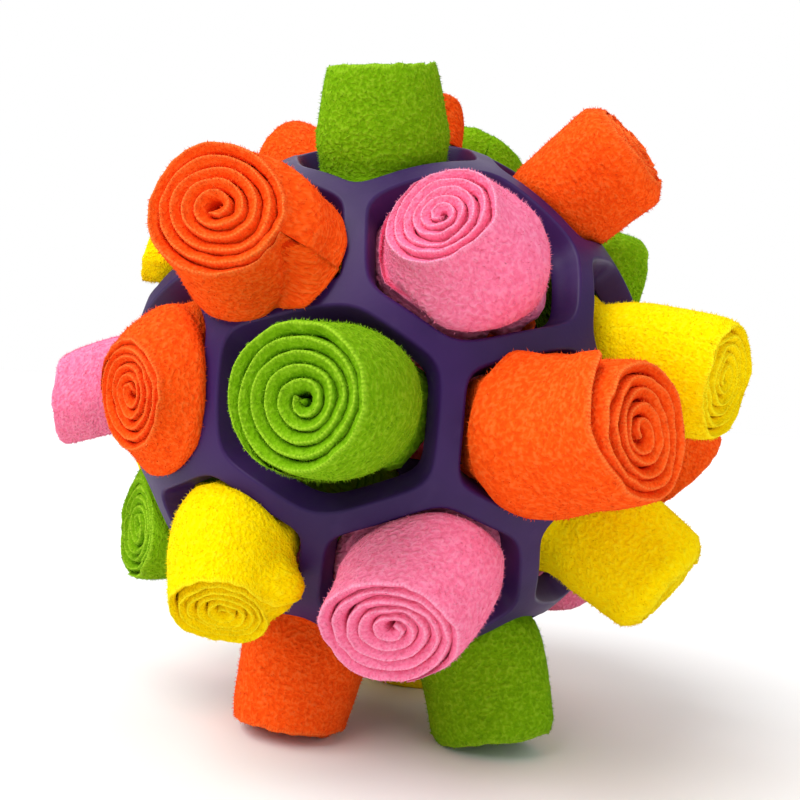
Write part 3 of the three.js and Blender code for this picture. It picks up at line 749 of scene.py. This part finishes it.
def roll_path(roll):
    """A roll's middle line from its root to its end: places, the way it faces, and radii."""
    axis = roll["cell"]["axis"]
    level, upward = tangents(axis)
    slide, throat = roll["cell"]["slide"], roll["cell"]["fit"] + PRESSED_IN

    def foot(height):
        out = smooth_step(height, THROAT_INNER, THROAT_OUTER)
        x = slide[0] * height + roll["foot_across"] * out
        y = slide[1] * height + roll["foot_up"] * out
        return axis * height + level * x + upward * y

    start, bend = foot(THROAT_OUTER), foot(roll["bend"])
    end = axis * roll["reach"] + level * roll["across"] + upward * roll["up"]
    straight = [foot(h) for h in np.linspace(ROLL_ROOT, THROAT_OUTER, STRAIGHT_STEPS)[:-1]]
    t = np.linspace(0, 1, CURVED_STEPS)[:, None]
    curved = (1 - t) ** 2 * start + 2 * t * (1 - t) * bend + t**2 * end
    places = np.vstack((straight, curved))
    facing = np.gradient(places, axis=0)
    facing[: len(straight)] = axis
    facing = unit(facing)
    part = np.concatenate((np.linspace(-1, 0, STRAIGHT_STEPS)[:-1], t[:, 0]))
    if roll["name"] in FACINGS:
        face_across, face_up = FACINGS[roll["name"]]
        turned = axis + face_across * level + face_up * upward
        facing = unit(axis + (turned - axis) * smooth_step(part, 0, 0.9)[:, None])
    body, tip = roll["body"], roll["tip"]
    # Radii along the roll, from -1 at its root by 0 at the lattice to 1 at its end
    stations = [
        (-1, throat * ROOT_SHRINK),
        (-0.6, throat),
        (-0.1, body),
        (0.38, body),
        (0.7, (body + tip) / 2),
        (0.93, tip),
        (1, tip - roll["round"]),
    ]
    radii = np.interp(part, *zip(*stations))
    distance = np.concatenate(([0], np.linalg.norm(np.diff(places, axis=0), axis=1).cumsum()))
    return distance, places, facing, eased(radii, 4)


def find_rubber(moulding, centres, ways, chosen):
    """How far the rubber lies from each chosen place along its way, and far off where there is none."""
    distances = np.full(chosen.shape, FAR_OFF)
    raised = (centres + (0, 0, REST_HEIGHT)) * MM
    for place in zip(*np.nonzero(chosen)):
        distance = moulding.ray_cast(Vector(raised[place]), Vector(ways[place]))[3]
        if distance is not None:
            distances[place] = distance / MM
    return distances


def squeeze(roll, moulding, centres, ways, wide):
    """How far the roll spreads at each place: held in by the opening's sides, and pressed to its walls."""
    cell = roll["cell"]
    axis = cell["axis"]
    across_up = np.stack(tangents(axis))
    wanted = centres + ways * wide[..., None]
    heights = wanted @ axis
    depth = ((THROAT_OUTER - heights) / (THROAT_OUTER - THROAT_INNER))[..., None]
    sides = cell["outer"] + (cell["inner"] - cell["outer"]) * depth - WALL_GAP
    spread = ways @ across_up.T @ cell["normals"].T
    gaps = sides - centres @ across_up.T @ cell["normals"].T
    ahead = np.maximum(spread, LEAST_SPREAD)
    room = np.where(spread > LEAST_SPREAD, gaps / ahead, FAR_OFF).min(-1)
    outside = np.linalg.norm(wanted, axis=-1) - BALL_RADIUS - WALL_GAP
    room = np.maximum(room, 1) + np.maximum(outside + LIP_ROUNDING, 0) * ROOM_GROWTH
    held = wide * room / (wide**SQUEEZE_POWER + room**SQUEEZE_POWER) ** (1 / SQUEEZE_POWER)
    pressed = 1 - smooth_step(heights, *PRESSED_HEIGHTS)
    pressed = pressed * smooth_step(heights, ROLL_ROOT, ROLL_ROOT + ROOT_EASING)
    rubber = find_rubber(moulding, centres, ways, pressed > 0)
    gap = np.where(rubber < room + PAST_WALL, rubber - CONTACT_GAP, room) - held
    return held + np.minimum(gap, eased(gap, 3)) * pressed


def hills(places, size, seed):
    """Smooth random heights from -1 to 1 at places in millimetres, with hills of about that size."""
    shape = places.shape[:-1]
    flat = places.reshape(-1, 3) / size
    values = [noise.noise(Vector((x, y, z + HILL_SHIFT * seed))) for x, y, z in flat]
    return np.array(values).reshape(shape)


def sum_hills(places, layers, seed):
    """Several layers of hills, each with its height, its size and its own shift of the seed."""
    return sum(height * hills(places, size, seed + shift) for height, size, shift in layers)


def strip_section(length, inner_rows=INNER_ROWS):
    """The strip's closed section: across, distance from the root, lip, fold and way round it."""
    top = length - CUT_EDGE[0][1]
    throat = np.linspace(0, THROAT_LENGTH, THROAT_ROWS + 1)[:-1]
    outer = np.concatenate((throat, np.linspace(THROAT_LENGTH, top, SIDE_ROWS)[:-1]))
    inner = np.linspace(length - CUT_EDGE[-1][1], 0, inner_rows)[1:]
    rows = [(1.0, z, 0.0, 0.0) for z in outer]
    rows += [(across, length - drop, lip, fold) for across, drop, lip, fold in CUT_EDGE]
    rows += [(-1.0, z, 0.0, 1.0) for z in inner]
    rows = np.array(rows)
    steps = np.hypot(np.diff(rows[:, 0]) * STRIP_THICK / 2, np.diff(rows[:, 1]))
    return rows, np.concatenate(([0], steps.cumsum()))


def strip_places(along, girth):
    """The places on a strip of each point of its grid, in millimetres along it and round its section."""
    columns, lines = len(along), len(girth)
    layers = (along[:, None] * np.ones(lines), girth * np.ones((columns, 1)), np.zeros((columns, lines)))
    return np.stack(layers, -1)


def on_line(along):
    """The distances along a strip as places on a line."""
    return np.stack((along, 0 * along, 0 * along), -1)


def strip_crest(roll, seed, along, radius):
    """How far the strip's cut edge stands above the roll's end, along the strip."""
    crest = sum_hills(on_line(along), CREST_HILLS, seed)
    crest -= roll["sink"] * (1 - radius / radius[0])
    crest -= roll["slip"] * smooth_step(1 - along / SLIP_LENGTH, 0, 1)
    if roll["lift"] > 0:
        crest -= END_CORNER * np.clip(1 - along / END_CORNER, 0, 1) ** 2
    return crest


def strip_thickness(roll, along):
    """How thick the strip is along it: rounded at an end that stands off, and tapered at one that lies."""
    if roll["lift"] > 0:
        return STRIP_THICK * np.clip(0.12 + along / END_ROUNDING, 0, 1) ** 0.6
    return STRIP_THICK * (THINNEST + (1 - THINNEST) * smooth_step(along, -1, TAPER))


def swell_body(roll, turn, angle, below):
    """How far the outermost turn swells out past its crease, at a turn and a depth below the rim."""
    crease, slant, spread, most, dip, near, far = BULGES[roll["name"]]
    past = (np.degrees(turn) - crease - slant * below + 90) % 360 - 90
    shape = smooth_step(past, *SWELL_RISE) * (1 - smooth_step(past, SWELL_FULL * spread, spread))
    groove = dip * np.exp(-(((past - SWELL_RISE[0]) / CREASE_WIDTH) ** 2))
    fades = smooth_step(below, near, near + SWELL_FADES[0]), smooth_step(below, far - SWELL_FADES[1], far)
    below_rim = fades[0] * (1 - fades[1])
    return (most * shape - groove) * below_rim * (angle < OUTER_TURN)[:, None]


def shape_roll(roll, seed, moulding):
    """A wound strip's surface: a grid along it and round its section, with places, marks and length."""
    distance, places, facing, radii = roll_path(roll)
    length = distance[-1]
    fine = roll["name"] in BULGES
    along, angle, radius = wind_strip(FINE_STEP if fine else ARC_STEP)
    rows, girth = strip_section(length, FINE_INNER_ROWS if fine else INNER_ROWS)
    columns, lines = len(along), len(rows)
    turn = (math.radians(roll["seam"]) + roll["wind"] * angle)[:, None] * np.ones(lines)
    strip = strip_places(along, girth)

    near_top = smooth_step(rows[:, 1], length - END_FREE, length)
    risen = rows[:, 1] + strip_crest(roll, seed, along, radius)[:, None] * near_top
    height = np.clip(risen, 0, length + 1)

    across = (rows[:, 0] + 1) / 2 * strip_thickness(roll, along)[:, None] - STRIP_THICK / 2
    free = smooth_step(rows[:, 1], THROAT_LENGTH, THROAT_LENGTH + BODY_FREE)
    flap = roll["lift"] * np.clip(1 - along / FLAP_LENGTH, 0, 1) ** 2
    wander = sum_hills(on_line(along), WANDER_HILLS, seed)
    swell = sum_hills(strip, SWELL_HILLS, seed)
    near_outside = smooth_step(radius, WOUND_RADIUS - 2.2 * PITCH, WOUND_RADIUS - PITCH)
    inward = 1 - radius / WOUND_RADIUS
    lean = turn[:, 0] - 2.4 * seed
    uneven = CORE_OVAL * inward * radius * np.cos(2 * lean) + CORE_DRIFT * inward * np.cos(lean)
    reach = (radius + uneven)[:, None] + across + flap[:, None] * near_top
    reach = reach + (wander[:, None] + swell * near_outside[:, None]) * free

    centre = np.stack([np.interp(height, distance, places[:, i]) for i in range(3)], -1)
    front = unit(np.stack([np.interp(height, distance, facing[:, i]) for i in range(3)], -1))
    centre = centre + front * np.maximum(risen - length, 0)[..., None]
    level = tangents(roll["cell"]["axis"])[0]
    side = unit(level - front * (front @ level)[..., None])
    ways = np.cos(turn)[..., None] * side + np.sin(turn)[..., None] * np.cross(front, side)
    wide = np.interp(height, distance, radii)
    outline = BODY_OVAL * np.sin(2 * turn + seed) + BODY_LUMPS * np.sin(3 * turn + 2.1 * seed)
    wide = wide * (1 + free * outline)
    spreading = 1 - smooth_step(height, THROAT_LENGTH, THROAT_LENGTH + SKIRT_LENGTH)
    wide = wide + SKIRTS.get(roll["name"], 0) * spreading
    if fine:
        wide = wide + swell_body(roll, turn, angle, length - height) * free
    wide = squeeze(roll, moulding, centre, ways, wide)
    grid = centre + ways * (reach / WOUND_RADIUS * wide)[..., None]
    marks = {"lip": rows[:, 2] * np.ones((columns, 1)), "fold": rows[:, 3] * np.ones((columns, 1))}
    return grid, strip, marks, angle, length


# How many loose fibres stand on each region of a roll, their shortest and longest, the degrees that they
# tilt, their widths, how deep their roots lie and where their random draws begin
FIBRES = [("side", 2150, 0.35, 0.8), ("edge", 450, 0.25, 0.55), ("lip", 1150, 0.25, 0.6)]
FIBRE_TILTS = (15, 72)
FIBRE_WIDTHS = (0.07, 0.11)
FIBRE_SUNK = 0.08
FIBRE_SEED = 1000


def scatter_fibres(grid, strip, outermost, wind, density, random):
    """Short loose fibres over the roll's outside and its cut edge: closed spikes with three sides."""
    columns, lines = grid.shape[:2]
    right, down = grid[1:, :-1] - grid[:-1, :-1], grid[:-1, 1:] - grid[:-1, :-1]
    normals = np.cross(right, down) * wind
    area = np.linalg.norm(normals, axis=-1)
    first_edge = THROAT_ROWS + SIDE_ROWS - 1
    last_edge = first_edge + len(CUT_EDGE) - 2
    column = np.arange(columns - 1)[:, None] * np.ones(lines - 1, int)
    line = np.arange(lines - 1) * np.ones((columns - 1, 1), int)
    side = (line >= THROAT_ROWS - 1) & (line < first_edge) & outermost[:-1, None]
    edge = (line >= first_edge) & (line < last_edge)
    lip = (line >= first_edge) & (line < first_edge + LIP_ROWS)
    parts = []
    regions = {"side": side, "edge": edge, "lip": lip}
    for where, full_count, low, high in FIBRES:
        count = round(full_count * density)
        share = (area * regions[where]).ravel()
        picked = random.choice(share.size, count, p=share / share.sum())
        c, n = column.ravel()[picked], line.ravel()[picked]
        a, b = random.random((2, count, 1))
        root = grid[c, n] + a * right[c, n] + b * down[c, n]
        out = unit(normals[c, n])
        tangent = unit(right[c, n])
        other = np.cross(out, tangent)
        spin = random.random(count) * 2 * math.pi
        lean = tangent * np.cos(spin)[:, None] + other * np.sin(spin)[:, None]
        tilt = np.radians(random.uniform(*FIBRE_TILTS, count))[:, None]
        way = out * np.cos(tilt) + lean * np.sin(tilt)
        reach = random.uniform(low, high, (count, 1))
        width = random.uniform(*FIBRE_WIDTHS, (count, 1))
        legs = [
            root - FIBRE_SUNK * out + width * (tangent * math.cos(k) + other * math.sin(k))
            for k in (0, 2 * math.pi / 3, 4 * math.pi / 3)
        ]
        points = np.stack((*legs, root + way * reach), 1)
        base = strip[c, n][:, None] + np.zeros((1, 4, 1))
        base[:, :, 0] += a
        base[:, 3, 1] += 0.3
        parts.append((points, base))
    points = np.concatenate([p for p, _ in parts]).reshape(-1, 3)
    base = np.concatenate([s for _, s in parts]).reshape(-1, 3)
    first = np.arange(0, len(points), 4)[:, None]
    faces = np.concatenate([first + np.array(f) for f in ((0, 1, 3), (1, 2, 3), (2, 0, 3), (2, 1, 0))])
    return points, base, faces


def build_mesh(name, points, quads, triangles, ends, strip, marks):
    """A mesh object from points in millimetres, its faces, the places on the strip and the marks."""
    faces = [tuple(f) for f in quads] + [tuple(f) for f in triangles] + [tuple(f) for f in ends]
    mesh = bpy.data.meshes.new(name)
    mesh.from_pydata((points * MM).tolist(), [], faces)
    mesh.polygons.foreach_set("use_smooth", np.ones(len(faces), bool))
    corner = np.zeros(len(mesh.loops), np.int32)
    mesh.loops.foreach_get("vertex_index", corner)
    layer = mesh.uv_layers.new(name="strip")
    layer.uv.foreach_set("vector", strip[corner, :2].astype(np.float32).ravel())
    for mark, values in marks.items():
        made = mesh.attributes.new(mark, "FLOAT", "POINT")
        made.data.foreach_set("value", values.astype(np.float32))
    obj = bpy.data.objects.new(name, mesh)
    bpy.context.scene.collection.objects.link(obj)
    return obj


def finish_strip(name, grid, strip, marks, outermost, wind, seed, share, fleece):
    """A strip's grid and its loose fibres as one mesh with a fleece on it."""
    random = np.random.default_rng(FIBRE_SEED + seed)
    spikes, spike_strip, spike_faces = scatter_fibres(grid, strip, outermost, wind, share, random)
    columns, lines = grid.shape[:2]
    index = np.arange(columns * lines).reshape(columns, lines)
    a, b = index[:-1], np.roll(index, -1, 1)[:-1]
    c, d = np.roll(index, -1, 1)[1:], index[1:]
    quads = np.stack((a, d, c, b), -1).reshape(-1, 4)
    ends = [index[0], index[-1][::-1]]
    if wind < 0:
        quads, ends = quads[:, ::-1], [end[::-1] for end in ends]
    points = np.vstack((grid.reshape(-1, 3), spikes))
    points[:, 2] = np.maximum(points[:, 2] + REST_HEIGHT, 0)
    where = np.vstack((strip.reshape(-1, 3), spike_strip))
    # The fibres' tips are marked for a painted highlight in the fleece
    tip = np.zeros(len(spikes))
    tip[3::4] = 1
    empty = np.zeros(len(spikes))
    values = {mark: np.concatenate((value.ravel(), empty)) for mark, value in marks.items()}
    values["fibre"] = np.concatenate((np.zeros(columns * lines), tip))
    obj = build_mesh(name, points, quads, spike_faces + columns * lines, ends, where, values)
    obj.data.materials.append(fleece)
    return obj


def make_roll(roll, seed, fleece, moulding):
    """One strip of fleece, wound up, pushed into its opening and fuzzy all over."""
    grid, strip, marks, angle, length = shape_roll(roll, seed, moulding)
    name = "fleece_" + roll["name"]
    material = fleece[roll["colour"]]
    obj = finish_strip(name, grid, strip, marks, angle < FUZZY_TURN, roll["wind"], seed, 1, material)
    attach(obj, "root")
    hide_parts("roll_" + roll["name"])


def round_corners(points, times=3):
    """An open line of points with its corners cut again and again until it is smooth."""
    for _ in range(times):
        early = points[:-1] * 0.75 + points[1:] * 0.25
        late = points[:-1] * 0.25 + points[1:] * 0.75
        between = np.stack((early, late), 1).reshape(-1, points.shape[1])
        points = np.vstack((points[:1], between, points[-1:]))
    return points


def make_loose_end(fleece):
    """The end of the strip in top_back, unwound and standing on its edge."""
    stations = round_corners(np.array(LOOSE_END, float))
    steps = np.linalg.norm(np.diff(stations[:, :2], axis=0), axis=1)
    along = np.concatenate(([0], steps.cumsum()))
    tall = float((stations[:, 3] - stations[:, 2]).mean())
    rows, girth = strip_section(tall + THROAT_LENGTH)
    rows[:, 1] = np.maximum(rows[:, 1] - THROAT_LENGTH, 0)
    columns, lines = len(along), len(rows)
    strip = strip_places(along, girth)
    way = unit(np.gradient(stations[:, :2], axis=0))
    normal = np.stack((way[:, 1], -way[:, 0]), 1)
    ends = np.minimum(along, along[-1] - along)
    thick = STRIP_THICK / 2 * np.clip(0.3 + ends / LOOSE_ROUNDING, 0, 1) ** 0.7
    crest = sum_hills(on_line(along), LOOSE_CREST, LOOSE_SEED)
    top = stations[:, 3] + crest - 1.5 * np.clip(1 - ends / LOOSE_CORNER, 0, 1) ** 2
    stretch = (top - stations[:, 2])[:, None] / tall
    off = thick[:, None] * rows[:, 0] + sum_hills(strip, LOOSE_SWELL, LOOSE_SEED)
    grid = np.empty((columns, lines, 3))
    grid[..., :2] = stations[:, None, :2] + normal[:, None] * off[..., None]
    grid[..., 2] = stations[:, 2][:, None] + rows[:, 1] * stretch
    marks = {"lip": rows[:, 2] * np.ones((columns, 1)), "fold": np.zeros((columns, lines))}
    everywhere = np.ones(columns, bool)
    seed = LOOSE_SEED + 100
    obj = finish_strip("loose_fleece_end", grid, strip, marks, everywhere, 1, seed, LOOSE_FIBRES, fleece)
    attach(obj, "root")
    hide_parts("loose_end_top_back")


make_camera()
make_floor()
light_studio()

pile_group = make_pile_group()
fleece = {
    colour: make_fleece("fleece_" + colour, *tones, pile_group) for colour, tones in FLEECES.items()
}
rubber = make_rubber()

cage = make_cage()
cells = find_cells(cage)
push_junctions(cage, cells)
measure_openings(cage, cells)
lattice = make_lattice(cage, cells, rubber)
moulding = BVHTree.FromPolygons(
    [tuple(v.co) for v in lattice.data.vertices], [tuple(f.vertices) for f in lattice.data.polygons]
)
for seed, roll in enumerate(ROLLS):
    make_roll(roll, seed, fleece, moulding)

make_loose_end(fleece["orange"])
